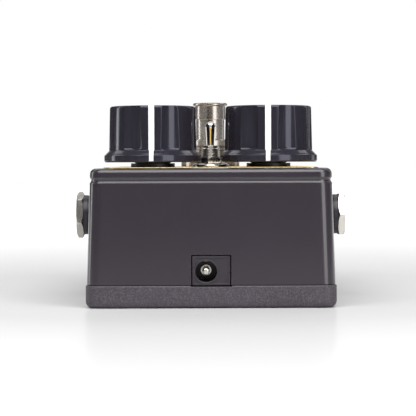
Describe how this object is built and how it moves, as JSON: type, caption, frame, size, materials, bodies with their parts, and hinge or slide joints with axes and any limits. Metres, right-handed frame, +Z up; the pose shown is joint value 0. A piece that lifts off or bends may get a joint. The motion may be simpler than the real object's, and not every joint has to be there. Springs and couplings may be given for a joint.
{
  "type": "guitar effects pedal",
  "caption": "Compact die-cast guitar effects pedal with rotary controls, a toggle, a footswitch, side jack sockets and a rear power socket.",
  "frame": {"origin": "middle of the underside, on the surface the pedal stands on", "axes": "+X to the right as seen from the rear; +Y from the rear wall with the power socket to the front with the footswitch; +Z up"},
  "size_m": [0.0842, 0.121, 0.0627],
  "materials": {
    "body_paint": "satin black paint on die-cast aluminium",
    "base_paint": "fine-textured black paint on die-cast aluminium",
    "gold_sheet": "gold brushed",
    "knob_plastic": "gloss",
    "pointer_white": "satin",
    "brass": "satin",
    "black_steel": "black oxide",
    "nickel": "bright nickel",
    "chrome": "polished",
    "satin_nickel": "satin nickel",
    "tinned_steel": "tinned",
    "aluminium": "satin",
    "phenolic": "matte",
    "black_plastic": "satin",
    "board_green": "satin",
    "resistor_body": "satin",
    "red_lens": "gloss",
    "lead_insulation": "satin"
  },
  "bodies": {
    "housing": {"base_plate": "base_paint", "base_screws": "black_steel", "board_header": "black_plastic", "control_board": "board_green", "dc_jack_contact": "brass", "dc_jack_housing": "black_plastic", "dc_jack_pin": "nickel", "electrolytic_caps": "black_plastic", "enclosure": "body_paint", "faceplate": "gold_sheet", "footswitch_body": "black_plastic", "footswitch_bushing": "satin_nickel", "footswitch_leads": "lead_insulation", "footswitch_lugs": "brass", "footswitch_nuts": "satin_nickel", "footswitch_spring": "nickel", "footswitch_washer": "satin_nickel", "jack_gaskets": "black_plastic", "jack_left_contacts": "brass", "jack_left_housing": "black_plastic", "jack_left_sleeve": "nickel", "jack_nuts": "nickel", "jack_right_contacts": "brass", "jack_right_housing": "black_plastic", "jack_right_sleeve": "nickel", "jack_shims": "black_plastic", "led": "red_lens", "led_bezel": "nickel", "main_board": "board_green", "op_amps": "black_plastic", "pot_left_bushing": "tinned_steel", "pot_left_cover": "tinned_steel", "pot_left_terminals": "brass", "pot_left_wafer": "phenolic", "pot_nuts": "black_steel", "pot_right_bushing": "tinned_steel", "pot_right_cover": "tinned_steel", "pot_right_terminals": "brass", "pot_right_wafer": "phenolic", "pot_washers": "black_steel", "resistors": "resistor_body", "toggle_bushing": "nickel", "toggle_case": "black_plastic", "toggle_nut": "nickel", "toggle_terminals": "brass", "toggle_washer": "nickel"},
    "knob_left_turning": {"knob_left": "knob_plastic", "knob_left_pointer": "pointer_white", "knob_left_insert": "brass", "knob_left_set_screw": "black_steel", "pot_left_shaft": "aluminium", "pot_left_wiper": "black_plastic"},
    "knob_right_turning": {"knob_right": "knob_plastic", "knob_right_pointer": "pointer_white", "knob_right_insert": "brass", "knob_right_set_screw": "black_steel", "pot_right_shaft": "aluminium", "pot_right_wiper": "black_plastic"},
    "toggle_bat": {"toggle_lever": "chrome"},
    "footswitch_push": {"footswitch_plunger": "satin_nickel"}
  },
  "joints": [
    {"name": "knob_left_turn", "type": "hinge", "parent": "housing", "child": "knob_left_turning", "pos_m": [-0.0174, -0.041, 0.0405], "axis": [0, 0, 1], "range_deg": [-150, 150]},
    {"name": "knob_right_turn", "type": "hinge", "parent": "housing", "child": "knob_right_turning", "pos_m": [0.0174, -0.041, 0.0405], "axis": [0, 0, 1], "range_deg": [-147.6, 152.4]},
    {"name": "toggle_flip", "type": "hinge", "parent": "housing", "child": "toggle_bat", "pos_m": [0, -0.0315, 0.0455], "axis": [1, 0, 0], "range_deg": [-25, 0]},
    {"name": "footswitch_press", "type": "slide", "parent": "housing", "child": "footswitch_push", "axis": [0, 0, -1], "range_m": [0, 0.003], "stiffness_N_per_m": 1500, "springref_m": -0.003, "deforming": ["footswitch_spring"]}
  ]
}
